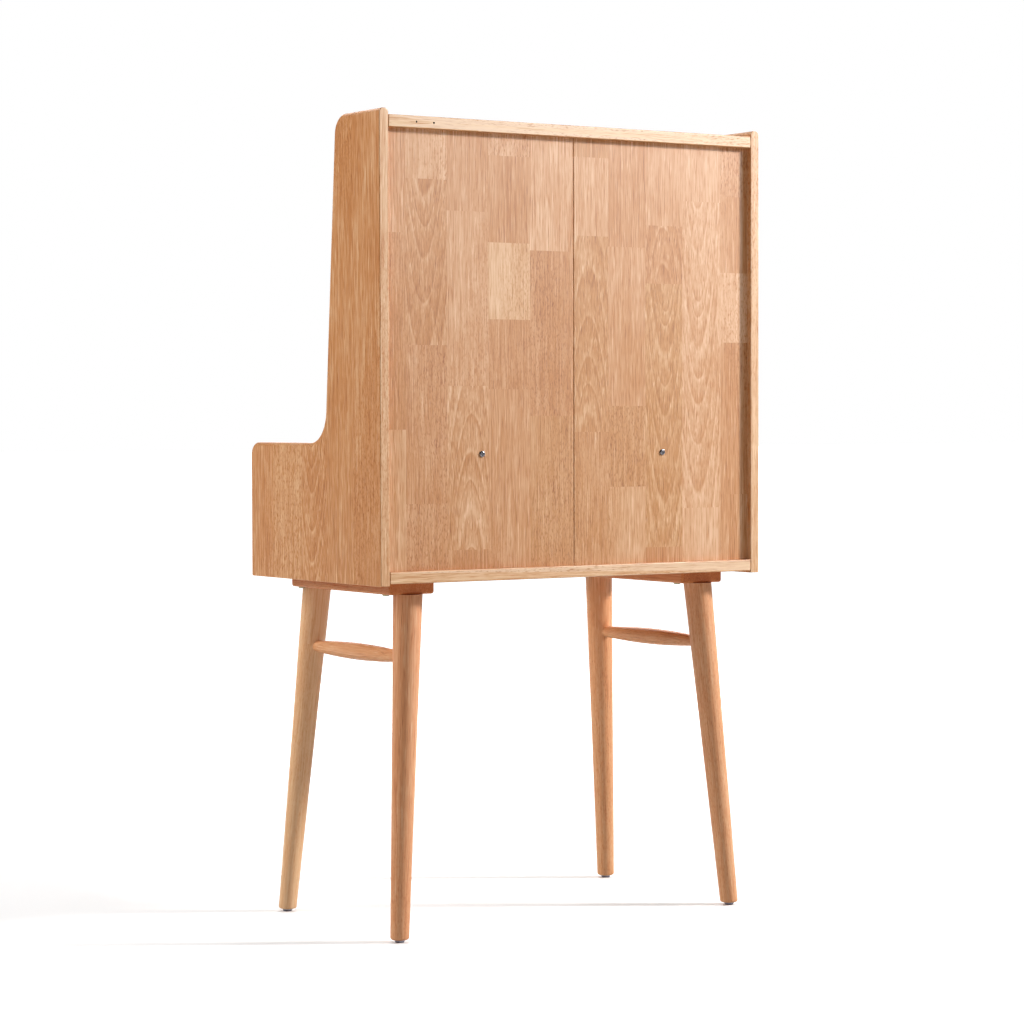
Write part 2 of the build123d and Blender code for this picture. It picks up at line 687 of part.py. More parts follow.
def drawer_side(side, face, way):
    """A drawer side, slotted outside for its runner and grooved inside for the bottom."""
    x0 = side * face
    x1 = side * (face + way * DRAWER_SIDE_THICK)
    solid = board(x0, x1, DRAWER_BACK_OF_FRONT, DRAWER_BOX_BACK, DRAWER_SIDE_Z, DRAWER_SIDE_TOP)
    half = RUNNER_SLOT_HEIGHT / 2
    solid -= block(x0, side * (face + way * RUNNER_SLOT_DEPTH), DRAWER_BACK_OF_FRONT,
                   DRAWER_BOX_BACK, RUNNER_Z - half, RUNNER_Z + half)
    return solid - drawer_bottom(side, DRAWER_BOTTOM_GAP) - drawer_dowels(side, FIT_GAP)


def drawer_back(side):
    """A drawer's back, standing on its bottom between its sides."""
    solid = board(
        side * (DRAWER_INNER_X + DRAWER_SIDE_THICK),
        side * (DRAWER_OUTER_X - DRAWER_SIDE_THICK),
        DRAWER_BOX_BACK - DRAWER_SIDE_THICK,
        DRAWER_BOX_BACK,
        DRAWER_BOTTOM_Z + DRAWER_BOTTOM_THICK + DRAWER_BOTTOM_GAP,
        DRAWER_SIDE_TOP,
    )
    return solid - drawer_dowels(side, FIT_GAP)


# ---------------------------------------------------------------- base
def leg_centre(side, end, z):
    """A point on the axis of a leg. The axis runs out in X and Y from the rail to the foot."""
    down = (RAIL_Z - z) / (RAIL_Z - GLIDE_HEIGHT)
    x = RAIL_X + (LEG_FOOT_X - RAIL_X) * down
    spread = LEG_TOP_SPREAD + (LEG_FOOT_SPREAD - LEG_TOP_SPREAD) * down
    return Vector(side * x, BASE_Y + end * spread, z)


def leg_axis(side, end):
    """The upward direction of a leg."""
    rise = leg_centre(side, end, RAIL_Z) - leg_centre(side, end, GLIDE_HEIGHT)
    return rise.normalized()


def leg_radius(z):
    """Radius of a leg at height z."""
    down = (RAIL_Z - z) / (RAIL_Z - GLIDE_HEIGHT)
    return LEG_TOP_R + (LEG_FOOT_R - LEG_TOP_R) * down


def leg_bolt(side, end, radius, gap=0.0):
    """The bolt along a leg's axis into the rail. A wider radius makes its insert or bore."""
    top = leg_centre(side, end, RAIL_Z)
    way = leg_axis(side, end)
    start = top - way * (LEG_BOLT_IN_LEG + gap)
    return rod(start, top + way * (LEG_BOLT_IN_RAIL + gap), radius + gap)


def leg_insert(side, end):
    """A threaded insert in the rail, flush with the rail's underside."""
    body = leg_bolt(side, end, LEG_INSERT_R) - leg_bolt(side, end, LEG_BOLT_R, FIT_GAP)
    return body & rail_slab(side)


def rail_slab(side):
    """The plain block that a rail is shaped from."""
    half = RAIL_WIDTH / 2
    x = side * RAIL_X
    y = RAIL_LENGTH / 2
    return block(x - half, x + half, BASE_Y - y, BASE_Y + y, RAIL_Z, BOTTOM_BOARD_Z)


def rail(side):
    """The rail under one side of the case, bored for its screws and its legs' inserts."""
    solid = rail_slab(side)
    solid = fillet(solid.edges().filter_by(Axis.Z), RAIL_CORNER_R)
    solid = fillet(solid.faces().sort_by(Axis.Z)[0].edges(), RAIL_EASE)
    for x, y in rail_screw_places():
        solid -= rod((x, y, RAIL_Z), (x, y, BOTTOM_BOARD_Z), RAIL_SCREW_R + FIT_GAP)
    for end in ENDS.values():
        solid -= leg_bolt(side, end, LEG_INSERT_R, FIT_GAP)
    return solid


def rail_screw_places():
    """X and Y of the screws that hold the rails to the case."""
    return [
        (side * RAIL_X + offset, y)
        for side in SIDES.values()
        for offset in (-RAIL_SCREW_OFFSET, RAIL_SCREW_OFFSET)
        for y in RAIL_SCREW_YS
    ]


def rail_screw(x, y):
    """A button-head screw with a round socket, up through the rail into the case bottom."""
    head = Cylinder(RAIL_SCREW_HEAD_R, RAIL_SCREW_HEAD, align=ON_BASE)
    head = fillet(head.edges().sort_by(Axis.Z)[0], RAIL_SCREW_DOME)
    head -= Cylinder(RAIL_SCREW_SOCKET_R, RAIL_SCREW_SOCKET, align=ON_BASE)
    top = BOTTOM_BOARD_Z + CASE_INSERT_LENGTH
    return Pos(x, y, RAIL_Z - RAIL_SCREW_HEAD) * head + rod((x, y, RAIL_Z), (x, y, top), RAIL_SCREW_R)


def case_insert(x, y):
    """A threaded insert in the case bottom."""
    foot = (x, y, BOTTOM_BOARD_Z)
    top = (x, y, BOTTOM_BOARD_Z + CASE_INSERT_LENGTH)
    return rod(foot, top, CASE_INSERT_R) - rod(foot, top, RAIL_SCREW_R + FIT_GAP)


def foot_glide(side, end, gap=0.0):
    """A round metal glide with its nail up into the foot. With a gap it is the nail's hole."""
    foot = leg_centre(side, end, GLIDE_HEIGHT)
    tip = Vector(foot.X, foot.Y, GLIDE_NAIL + gap)
    nail = rod(foot, tip, GLIDE_NAIL_R + gap)
    if gap:
        return nail
    disc = Cylinder(GLIDE_R, GLIDE_HEIGHT, align=ON_BASE)
    disc = fillet(disc.edges().sort_by(Axis.Z)[0], GLIDE_EASE)
    return Pos(foot.X, foot.Y, 0) * disc + nail


def leg(side, end):
    """A round tapered leg, cut level at both ends and rounded at the foot."""
    low = GLIDE_HEIGHT - LEG_SPARE
    high = RAIL_Z + LEG_SPARE
    start = leg_centre(side, end, low)
    length = (leg_centre(side, end, high) - start).length
    cone = Cone(leg_radius(low), leg_radius(high), length, align=ON_BASE)
    span = Box(WIDTH, DEPTH, RAIL_Z - GLIDE_HEIGHT, align=ON_BASE)
    solid = Plane(origin=start, z_dir=leg_axis(side, end)) * cone
    solid = solid & Pos(0, 0, GLIDE_HEIGHT) * span
    solid = fillet(solid.edges().sort_by(Axis.Z)[0], LEG_FOOT_EASE)
    solid -= foot_glide(side, end, FIT_GAP)
    solid -= stretcher_socket(side, end)
    return solid - leg_bolt(side, end, LEG_BOLT_R, FIT_GAP)


def stretcher_reach(end):
    """Y where a stretcher's tenon ends inside a leg."""
    inward = leg_radius(STRETCHER_Z) - STRETCHER_TENON
    return leg_centre(1, end, STRETCHER_Z).Y - end * inward


def stretcher_socket(side, end):
    """The socket in a leg for a stretcher's tenon."""
    x = leg_centre(side, end, STRETCHER_Z).X
    tip = stretcher_reach(end) + end * FIT_GAP
    mouth = tip - end * (LEG_TOP_R + STRETCHER_TENON)
    return rod((x, tip, STRETCHER_Z), (x, mouth, STRETCHER_Z), STRETCHER_END_R + FIT_GAP)


def stretcher(side):
    """A cigar-shaped spindle between the front and back legs of one side."""
    front = stretcher_reach(-1)
    back = stretcher_reach(1)
    ends = (front + STRETCHER_STRAIGHT, back - STRETCHER_STRAIGHT)
    bulge = ThreePointArc(
        (STRETCHER_END_R, ends[0]),
        (STRETCHER_MID_R, (front + back) / 2),
        (STRETCHER_END_R, ends[1]),
    )
    rest = Polyline(
        (STRETCHER_END_R, ends[1]),
        (STRETCHER_END_R, back),
        (0, back),
        (0, front),
        (STRETCHER_END_R, front),
        (STRETCHER_END_R, ends[0]),
    )
    spindle = revolve(make_face(bulge + rest), axis=Axis.Y)
    return Pos(leg_centre(side, 1, STRETCHER_Z).X, 0, STRETCHER_Z) * spindle


# ---------------------------------------------------------------- nodes
os.makedirs("parts", exist_ok=True)

save("top_board", top_board())
save("deck_board", deck_board())
save("bottom_board", bottom_board())
save("centre_divider", centre_divider())
save("hutch_shelf", hutch_shelf())
save("carcase_dowels", *case_dowels())
save("back_panel_screws", *[back_panel_screw(side) for side in SIDES.values()])
save("catch_magnets", *[catch_magnet(side) for side in SIDES.values()])
save("flap_bumpers", *[flap_bumper(x) for x in BUMPER_XS])
save("deck_hinge_screws", *hinge_screws(-1))
save("runner_screws", *runner_screws())
save("rail_screws", *[rail_screw(x, y) for x, y in rail_screw_places()])
save("case_inserts", *[case_insert(x, y) for x, y in rail_screw_places()])

CORNERS = [(side, end) for side in SIDES.values() for end in ENDS.values()]
save("leg_bolts", *[leg_bolt(side, end, LEG_BOLT_R) for side, end in CORNERS])
save("leg_inserts", *[leg_insert(side, end) for side, end in CORNERS])
save("foot_glides", *[foot_glide(side, end) for side, end in CORNERS])

save("flap_panel", flap_panel())
save("flap_hinge_screws", *hinge_screws(1))
save("catch_strikes", *[catch_strike(side) for side in SIDES.values()])
save("strike_screws", *[strike_screw(side) for side in SIDES.values()])

for name, (wall, way) in runner_walls().items():
    save(f"drawer_runner_{name}", drawer_runner(wall, way))

for name, side in SIDES.items():
    save(f"side_panel_{name}", side_panel(side))
    save(f"back_panel_{name}", back_panel(side))
    save(f"pigeonhole_divider_{name}", pigeonhole_divider(side))
    save(f"flap_stop_{name}", flap_stop(side))
    save(f"rail_{name}", rail(side))
    save(f"stretcher_{name}", stretcher(side))
    for end_name, end in ENDS.items():
        save(f"leg_{end_name}_{name}", leg(side, end))

    save(f"hinge_{name}_deck_leaf", hinge_leaf(side, -1))
    save(f"hinge_{name}_flap_leaf", hinge_leaf(side, 1))
    save(f"hinge_{name}_pin", hinge_pin(side))

    drawer = f"drawer_{name}"
    save(f"{drawer}_front", drawer_front(side))
    save(f"{drawer}_inner_side", drawer_side(side, DRAWER_INNER_X, 1))
    save(f"{drawer}_outer_side", drawer_side(side, DRAWER_OUTER_X, -1))
    save(f"{drawer}_back", drawer_back(side))
    save(f"{drawer}_bottom", drawer_bottom(side))
    save(f"{drawer}_dowels", *drawer_dowels(side))
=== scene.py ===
import json
import math
import random

import bmesh
import bpy
from mathutils import Matrix, Vector

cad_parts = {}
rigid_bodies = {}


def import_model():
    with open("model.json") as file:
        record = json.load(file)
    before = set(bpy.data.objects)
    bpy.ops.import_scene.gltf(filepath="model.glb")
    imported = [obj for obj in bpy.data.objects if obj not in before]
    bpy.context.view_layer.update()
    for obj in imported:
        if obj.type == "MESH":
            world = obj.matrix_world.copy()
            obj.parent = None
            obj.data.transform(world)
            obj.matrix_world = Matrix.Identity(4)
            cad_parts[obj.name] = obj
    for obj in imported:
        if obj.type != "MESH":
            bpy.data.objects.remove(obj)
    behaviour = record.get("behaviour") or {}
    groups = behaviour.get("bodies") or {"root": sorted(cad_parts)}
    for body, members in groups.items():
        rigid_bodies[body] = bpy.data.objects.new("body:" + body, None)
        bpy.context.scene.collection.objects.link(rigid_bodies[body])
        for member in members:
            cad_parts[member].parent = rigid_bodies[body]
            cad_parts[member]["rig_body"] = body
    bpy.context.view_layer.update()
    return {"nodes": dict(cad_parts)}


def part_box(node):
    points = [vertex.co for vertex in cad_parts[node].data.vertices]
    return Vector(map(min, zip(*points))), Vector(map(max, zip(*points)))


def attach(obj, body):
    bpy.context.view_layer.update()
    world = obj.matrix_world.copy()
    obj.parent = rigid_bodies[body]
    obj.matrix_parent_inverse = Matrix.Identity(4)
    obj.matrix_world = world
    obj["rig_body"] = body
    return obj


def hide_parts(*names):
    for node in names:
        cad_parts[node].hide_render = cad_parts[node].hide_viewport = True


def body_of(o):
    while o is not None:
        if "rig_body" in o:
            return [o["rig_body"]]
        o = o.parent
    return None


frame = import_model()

# Looks of the secretary desk: every board is cut into glued staves with a real timber figure,
# and the metal, felt and plywood pieces get their own finishes. Lengths are metres, unless a
# name or comment says millimetres.

MM = 0.001
X, Y, Z = Vector((1, 0, 0)), Vector((0, 1, 0)), Vector((0, 0, 1))

# ---------------------------------------------------------------- camera and light
CAMERA_PLACE = (2.582, 3.945, 0.777)
CAMERA_YAW = 33.32
CAMERA_PITCH = -1.81
CAMERA_ROLL = -0.15
CAMERA_LENS = 104.73
SENSOR_WIDTH = 36.0

# Soft boxes, aimed at the object's middle: the way towards each, its distance, its side and its
# power in watts
AIM = Vector((0, 0, 0.75))
KEY = ((-1.60, 1.0, 0.92), 4.6, 0.46, 240.0)
FILL = ((0.9, -0.6, 0.45), 4.5, 2.4, 130.0)
FRONT = ((-0.6, -1.0, 0.5), 4.2, 2.0, 100.0)
# Two that are seen only in the lacquer's gloss, as a pale sheen on the back and on the side
VEIL = ((-1.30, 1.0, 1.00), 4.0, 1.5, 430.0)
SIDE_VEIL = ((0.55, -0.84, 1.5), 2.4, 1.1, 40.0)
# The overhead light is a wide sun, so that the floor is evenly bright
TOP_STRENGTH = 0.5
TOP_ANGLE = 100.0
# The studio is white to the eye. This is the light it gives, from its walls and off its floor, how
# far above and below the horizon the two mix, and the share of it that gloss doesn't show
WALL_LIGHT = 0.23
FLOOR_LIGHT = 0.58
HORIZON_MIX = 0.25
GLOSS_LOSS = 0.7
FLOOR_HALF = 60.0
FLOOR_COLOUR = (0.95, 0.95, 0.95, 1)
# The floor glows white from the first distance to the second, so that it has no horizon
FLOOR_GLOW = (1.2, 3.5)

# ---------------------------------------------------------------- shader helpers

# The cosines of the turn at which an edge starts to show and shows fully
EDGE_TURN = (0.995, 0.9)


def put(tree, kind, settings=(), **inputs):
    """Adds a shader node. Each input is a value or another node's output socket, and is named by
    its label, or as i0, i1 and so on by its place."""
    made = tree.nodes.new("ShaderNode" + kind)
    for name, value in dict(settings).items():
        setattr(made, name, value)
    for name, value in inputs.items():
        label = name.replace("_", " ")
        numbered = label[0] == "i" and label[1:].isdigit()
        socket = made.inputs[int(label[1:]) if numbered else label]
        if isinstance(value, bpy.types.NodeSocket):
            tree.links.new(value, socket)
        else:
            socket.default_value = value
    return made


def maths(tree, operation, *values):
    """One Math node of up to three values or sockets, and its output."""
    inputs = {f"i{k}": value for k, value in enumerate(values)}
    return put(tree, "Math", {"operation": operation}, **inputs).outputs[0]


def vectors(tree, operation, *values):
    """One Vector Math node of up to three vectors or sockets, and its vector output."""
    inputs = {f"i{k}": value for k, value in enumerate(values)}
    return put(tree, "VectorMath", {"operation": operation}, **inputs).outputs[0]


def remap(tree, value, low, high, to_low=0.0, to_high=1.0):
    """A clamped Map Range from low..high to to_low..to_high."""
    made = put(tree, "MapRange", {"clamp": True}, Value=value, From_Min=low, From_Max=high,
               To_Min=to_low, To_Max=to_high)
    return made.outputs[0]


def noise(tree, place, stretch, detail=2.0, roughness=0.5):
    """A noise whose cells are 1/stretch metres long along each axis of the grain."""
    scaled = vectors(tree, "MULTIPLY", place, stretch)
    return put(tree, "TexNoise", Vector=scaled, Scale=1.0, Detail=detail, Roughness=roughness)


def ramp(tree, value, *stops):
    """A colour ramp through (place, colour) stops."""
    made = put(tree, "ValToRGB", Fac=value)
    band = made.color_ramp
    while len(band.elements) < len(stops):
        band.elements.new(0.5)
    for element, (place, colour) in zip(band.elements, stops):
        element.position = place
        element.color = (*colour, 1)
    return made.outputs["Color"]


def new_material(name):
    """An empty node material and its Principled shader."""
    made = bpy.data.materials.new(name)
    made.use_nodes = True
    tree = made.node_tree
    return made, tree, tree.nodes["Principled BSDF"]


def edge_mask(tree, radius):
    """1 on edges sharper than the radius, 0 on flat faces, from a Bevel node."""
    rounded = put(tree, "Bevel", {"samples": 4}, Radius=radius).outputs["Normal"]
    face = put(tree, "NewGeometry").outputs["Normal"]
    alike = put(tree, "VectorMath", {"operation": "DOT_PRODUCT"}, i0=rounded, i1=face).outputs["Value"]
    return remap(tree, alike, *EDGE_TURN)


# ---------------------------------------------------------------- timber

# The wood's lightness runs from its darkest colour, at DARK_STOP, to its palest, at PALE_STOP.
# This is where it starts, and what the stave's tone (with the painted sheen of narrow edges), each layer
# of the figure and the painted highlight on sharp edges add to it
MID_LIGHT = 0.57
TONE = 0.26
LATE_RING = -0.11
EARLY_RING = 0.11
BROAD_BAND = 0.24
STREAK = 0.62
MOTTLE = 0.20
DARK_LINE = -0.27
PALE_LINE = 0.36
PORE = -0.30
END_GRAIN = -0.14
# Painted highlight: sharp edges are made paler by this much, within this radius, where the eased arrises
# catch the light
EDGE_HIGHLIGHT = 0.30
EDGE_HIGHLIGHT_RADIUS = 0.0012
DARK_STOP, MID_STOP, PALE_STOP = 0.08, 0.5, 0.92

# Satin lacquer
LACQUER_ROUGHNESS = 0.46
LACQUER_IOR = 1.42


def timber_material(name, dark, mid, pale, ring_pitch=0.0038, pores=1.0, gloss=0.5):
    """Solid wood. The "grain" attribute is the place in the log, with the pith on its Z axis,
    and "stave" holds each stave's tone, its warmth, how much end grain the face shows, and how
    strong its rings are; on long narrow edges the tone also carries a painted sheen. pores scales
    the pores' darkness, and gloss the lacquer's shine."""
    made, tree, shader = new_material(name)
    grain = put(tree, "Attribute", {"attribute_name": "grain"}).outputs["Vector"]
    stave = put(tree, "Attribute", {"attribute_name": "stave"}).outputs
    parts = put(tree, "SeparateXYZ", Vector=stave["Vector"]).outputs
    tone, warmth, end, rings = parts["X"], parts["Y"], parts["Z"], stave["Alpha"]

    # Growth rings round the pith, bent by slow waves along the trunk
    wave = noise(tree, grain, (12, 12, 3), 2.0).outputs["Color"]
    wave = vectors(tree, "MULTIPLY_ADD", wave, (0.004, 0.004, 0), (-0.002, -0.002, 0))
    ripple = noise(tree, grain, (70, 70, 22), 2.0).outputs["Color"]
    ripple = vectors(tree, "MULTIPLY_ADD", ripple, (0.0008, 0.0008, 0.004), (-0.0004, -0.0004, -0.002))
    bent = vectors(tree, "ADD", vectors(tree, "ADD", grain, wave), ripple)
    flat = vectors(tree, "MULTIPLY", bent, (1, 1, 0))
    radius = put(tree, "VectorMath", {"operation": "LENGTH"}, i0=flat).outputs["Value"]
    uneven = put(tree, "TexNoise", {"noise_dimensions": "1D"}, W=radius, Scale=70.0, Detail=2.0)
    uneven = maths(tree, "MULTIPLY", uneven.outputs["Fac"], 4.0)
    phase = maths(tree, "MULTIPLY_ADD", radius, 1 / ring_pitch, uneven)
    saw = maths(tree, "FRACT", phase)
    late = maths(tree, "MULTIPLY", remap(tree, saw, 0.62, 0.94), remap(tree, saw, 1.0, 0.96))
    early = maths(tree, "MULTIPLY", remap(tree, saw, 0.0, 0.05), remap(tree, saw, 0.30, 0.08))

    # Streaks and pores that run with the grain
    broad = noise(tree, grain, (95, 95, 3), 2.0).outputs["Fac"]
    streak = noise(tree, grain, (600, 600, 12), 3.0, 0.6).outputs["Fac"]
    dark_line = remap(tree, noise(tree, bent, (540, 540, 16), 2.0, 0.6).outputs["Fac"], 0.55, 0.72)
    pale_line = remap(tree, noise(tree, bent, (620, 620, 18), 2.0, 0.6).outputs["Fac"], 0.57, 0.74)
    long_pore = remap(tree, noise(tree, bent, (900, 900, 40), 1.0).outputs["Fac"], 0.54, 0.68)
    short_pore = remap(tree, noise(tree, bent, (720, 720, 150), 1.0).outputs["Fac"], 0.52, 0.68)
    mottle = noise(tree, grain, (16, 16, 9), 3.0).outputs["Fac"]
    # Whole staves are either streaky or dotted with short pores
    dotted = remap(tree, noise(tree, grain, (5, 5, 1.2), 1.0).outputs["Fac"], 0.44, 0.56)
    dotted = maths(tree, "MULTIPLY", dotted, remap(tree, rings, 0.5, 0.9, 1.0, 0.15))
    pore = maths(tree, "MULTIPLY_ADD", short_pore, dotted, maths(tree, "MULTIPLY", long_pore, 0.7))
    lines = maths(tree, "MULTIPLY_ADD", dotted, -0.5, 1.0)
    dark_line = maths(tree, "MULTIPLY", dark_line, lines)
    pale_line = maths(tree, "MULTIPLY", pale_line, lines)

    # One lightness from all of them, and a colour from that
    light = maths(tree, "MULTIPLY_ADD", tone, TONE, MID_LIGHT)
    light = maths(tree, "MULTIPLY_ADD", maths(tree, "MULTIPLY", late, rings), LATE_RING, light)
    light = maths(tree, "MULTIPLY_ADD", maths(tree, "MULTIPLY", early, rings), EARLY_RING, light)
    for layer, weight in ((broad, BROAD_BAND), (streak, STREAK), (mottle, MOTTLE)):
        light = maths(tree, "MULTIPLY_ADD", maths(tree, "SUBTRACT", layer, 0.5), weight, light)
    marks = ((dark_line, DARK_LINE), (pale_line, PALE_LINE), (pore, PORE * pores), (end, END_GRAIN))
    for layer, weight in marks:
        light = maths(tree, "MULTIPLY_ADD", layer, weight, light)
    # Painted highlight: the sharp edges are made paler
    light = maths(tree, "MULTIPLY_ADD", edge_mask(tree, EDGE_HIGHLIGHT_RADIUS), EDGE_HIGHLIGHT, light)
    colour = ramp(tree, light, (DARK_STOP, dark), (MID_STOP, mid), (PALE_STOP, pale))
    hue = maths(tree, "MULTIPLY_ADD", warmth, 0.004, 0.5)
    # The painted sheen on the narrow edges also greys their colour
    rim_sheen_grey = remap(tree, tone, 0.9, 1.8, 1.0, 0.80)
    colour = put(tree, "HueSaturation", Hue=hue, Saturation=rim_sheen_grey, Color=colour).outputs["Color"]
    tree.links.new(colour, shader.inputs["Base Color"])

    # The pores stay duller under the lacquer and sink a little
    dull = maths(tree, "MULTIPLY_ADD", pore, 0.12, LACQUER_ROUGHNESS)
    dull = maths(tree, "MULTIPLY_ADD", maths(tree, "SUBTRACT", mottle, 0.5), 0.16, dull)
    tree.links.new(dull, shader.inputs["Roughness"])
    relief = maths(tree, "MULTIPLY_ADD", pore, -1.0, maths(tree, "MULTIPLY", streak, 0.9))
    bump = put(tree, "Bump", Strength=0.35, Distance=0.00012, Height=relief)
    tree.links.new(bump.outputs["Normal"], shader.inputs["Normal"])
    shader.inputs["IOR"].default_value = LACQUER_IOR
    shader.inputs["Specular IOR Level"].default_value = gloss
    return made


CASE_WOOD = timber_material(
    "case_wood", (0.31, 0.084, 0.015), (0.545, 0.214, 0.057), (0.84, 0.55, 0.32))
STAVE_WOOD = timber_material(
    "stave_wood", (0.32, 0.090, 0.018), (0.545, 0.231, 0.073), (0.83, 0.53, 0.325))
BASE_WOOD = timber_material(
    "base_wood", (0.37, 0.105, 0.036), (0.71, 0.296, 0.126), (0.88, 0.54, 0.31),
    ring_pitch=0.0052, pores=0.5, gloss=0.4)
RAIL_WOOD = timber_material(
    "rail_wood", (0.30, 0.066, 0.015), (0.60, 0.174, 0.046), (0.80, 0.36, 0.14),
    ring_pitch=0.0052, pores=0.5, gloss=0.3)
BOX_WOOD = timber_material(
    "drawer_box_wood", (0.36, 0.19, 0.08), (0.66, 0.41, 0.22), (0.86, 0.64, 0.42), ring_pitch=0.006)
DOWEL_WOOD = timber_material(
    "dowel_wood", (0.36, 0.18, 0.08), (0.66, 0.40, 0.21), (0.86, 0.62, 0.40), ring_pitch=0.003)
# Near black and without gloss: painted shade for the inside of bores
BORE_SHADE_WOOD = timber_material(
    "bore_painted_shade", (0.006, 0.003, 0.002), (0.012, 0.006, 0.004), (0.03, 0.015, 0.009),
    ring_pitch=0.003, gloss=0.0)


class Board:
    """How one board lies in the log: which way its grain runs and which way its wide face looks."""

    def __init__(self, along, face):
        self.along = along.normalized()
        self.face = (face - face.dot(self.along) * self.along).normalized()
        self.across = self.face.cross(self.along)
        self.turn = Matrix((self.across, self.face, self.along))


# How close two points count as one where a mesh is joined up, and where it is cut
MERGE_REACH = 1e-6
CUT_REACH = 1e-7
# Edges that turn by more degrees than this stay sharp
SHARP_TURN = 38


def cut(piece_mesh, parts, place, normal):
    """Cuts parts of a mesh by the plane that lies `place` along its normal."""
    bmesh.ops.bisect_plane(
        piece_mesh, geom=parts, plane_co=normal * place, plane_no=normal, dist=CUT_REACH)


def cut_staves(piece_mesh, board, columns):
    """Cuts a board's mesh along its glue lines. columns are (low, high, ends): a stave row's two
    sides, across the board, and the places of the butt joints along it."""
    for low, high, ends in columns:
        for side in (low, high):
            parts = list(piece_mesh.verts) + list(piece_mesh.edges) + list(piece_mesh.faces)
            cut(piece_mesh, parts, side, board.across)
    for low, high, ends in columns:
        for place in ends:
            row = [f for f in piece_mesh.faces if low < f.calc_center_median().dot(board.across) < high]
            parts = row + list({e for f in row for e in f.edges} | {v for f in row for v in f.verts})
            cut(piece_mesh, parts, place, board.along)


# How staves differ by chance, and the most that a tone may differ
TONE_SPREAD = 0.4
TONE_LIMIT = 0.6
WARMTH_SPREAD = 0.5
# Where the log's pith lies from a plain stave's middle: beside it, below it and along the log, and
# how fast it comes nearer
PITH_BESIDE = (0.05, 0.11)
PITH_BELOW = (0.02, 0.06)
PITH_ALONG = (0, 40)
PITH_SLOPE = (-0.012, 0.012)
PLAIN_RINGS = 0.4
# The same for a stave with an arched figure, which some staves have by chance
ARCH_CHANCE = 0.25
ARCH_BESIDE = (-0.006, 0.006)
ARCH_BELOW = (0.050, 0.065)
ARCH_SLOPE = (0.060, 0.075)
ARCH_RINGS = 1.0


class Stave:
    """One strip of wood: its tone, warmth, rings, and where the log's pith lies beside it. What
    isn't given is left to the dice. An arch of 1 or -1 points its figure one way or the other, and
    0 makes it plain."""

    def __init__(self, dice, tone=None, arch=None, warmth=None):
        if tone is None:
            tone = max(-TONE_LIMIT, min(TONE_LIMIT, dice.gauss(0, TONE_SPREAD)))
        self.tone = tone
        self.warmth = dice.gauss(0, WARMTH_SPREAD) if warmth is None else warmth
        side = dice.choice((-1, 1))
        beside = side * dice.uniform(*PITH_BESIDE)
        below = dice.uniform(*PITH_BELOW)
        self.shift = Vector((beside, below, dice.uniform(*PITH_ALONG)))
        self.slope = dice.uniform(*PITH_SLOPE)
        self.rings = PLAIN_RINGS
        if arch is None and dice.random() < ARCH_CHANCE:
            arch = dice.choice((-1, 1))
        if arch:
            self.rings = ARCH_RINGS
            self.shift.x = dice.uniform(*ARCH_BESIDE)
            self.shift.y = dice.uniform(*ARCH_BELOW)
            self.slope = arch * dice.uniform(*ARCH_SLOPE)
        # One draw is passed over between staves
        dice.random()


def paint_grain(mesh, board, find_stave, rim_sheen):
    """Writes the attributes that the timber materials read, for every corner of the mesh. A face
    counts as end grain or as a long narrow edge by the cube of how squarely it faces that way, and a
    long narrow edge gets rim_sheen added to its tone: a painted sheen."""
    mesh.attributes.new("grain", "FLOAT_VECTOR", "CORNER")
    mesh.attributes.new("stave", "FLOAT_COLOR", "CORNER")
    grain, tones = mesh.attributes["grain"], mesh.attributes["stave"]
    for polygon in mesh.polygons:
        stave, middle = find_stave(board.turn @ polygon.center)
        end = abs(polygon.normal.dot(board.along)) ** 3
        # Painted sheen: long narrow edges are made paler
        tone = stave.tone + rim_sheen * abs(polygon.normal.dot(board.across)) ** 3
        for corner in polygon.loop_indices:
            place = board.turn @ mesh.vertices[mesh.loops[corner].vertex_index].co - middle
            lean = Vector((0, stave.slope * place.z, 0))
            grain.data[corner].vector = place + lean + stave.shift
            tones.data[corner].color = (tone, stave.warmth, end, stave.rings)


def timber_piece(node, material, board, columns, staves, rim_sheen=0.0):
    """A board of glued staves that stands for a CAD node. staves[k] are column k's, in order, and
    rim_sheen is the tone added to the board's long narrow edges: a painted sheen."""
    source = frame["nodes"][node]
    made = bmesh.new()
    made.from_mesh(source.data)
    bmesh.ops.remove_doubles(made, verts=made.verts, dist=MERGE_REACH)
    cut_staves(made, board, columns)
    for face in made.faces:
        face.smooth = True
    sharp = math.radians(SHARP_TURN)
    for edge in made.edges:
        edge.smooth = len(edge.link_faces) == 2 and edge.calc_face_angle(math.pi) < sharp
    mesh = bpy.data.meshes.new("timber_" + node)
    made.to_mesh(mesh)
    made.free()
    mesh.materials.append(material)

    start, stop = span(node, board.along)
    depth = sum(span(node, board.face)) / 2

    def find_stave(place):
        k = next((k for k, (low, high, ends) in enumerate(columns) if place.x < high), len(columns) - 1)
        low, high, ends = columns[k]
        row = sum(place.z > end for end in ends)
        marks = [start, *ends, stop]
        return staves[k][row], Vector(((low + high) / 2, depth, (marks[row] + marks[row + 1]) / 2))

    paint_grain(mesh, board, find_stave, rim_sheen)
    piece = bpy.data.objects.new("timber_" + node, mesh)
    bpy.context.scene.collection.objects.link(piece)
    normals = piece.modifiers.new("even normals", "WEIGHTED_NORMAL")
    normals.keep_sharp = True
    normals.weight = 100
    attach(piece, body_of(source)[0])
    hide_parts(node)


def span(node, axis):
    """A CAD node's lowest and highest place along an axis."""
    low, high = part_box(node)
    a, b = low.dot(axis), high.dot(axis)
    return min(a, b), max(a, b)


# A butt joint keeps at least this far from the board's end, a row's sides move by up to this share
# of its width, and a row's first joint lies between these two shares of the longest stave from the
# board's start
END_CLEAR = 0.03
ROW_SHIFT = 0.08
FIRST_JOINT = (0.1, 1.0)
STAVE_WIDTH = 0.072
STAVE_LENGTHS = (0.18, 0.42)


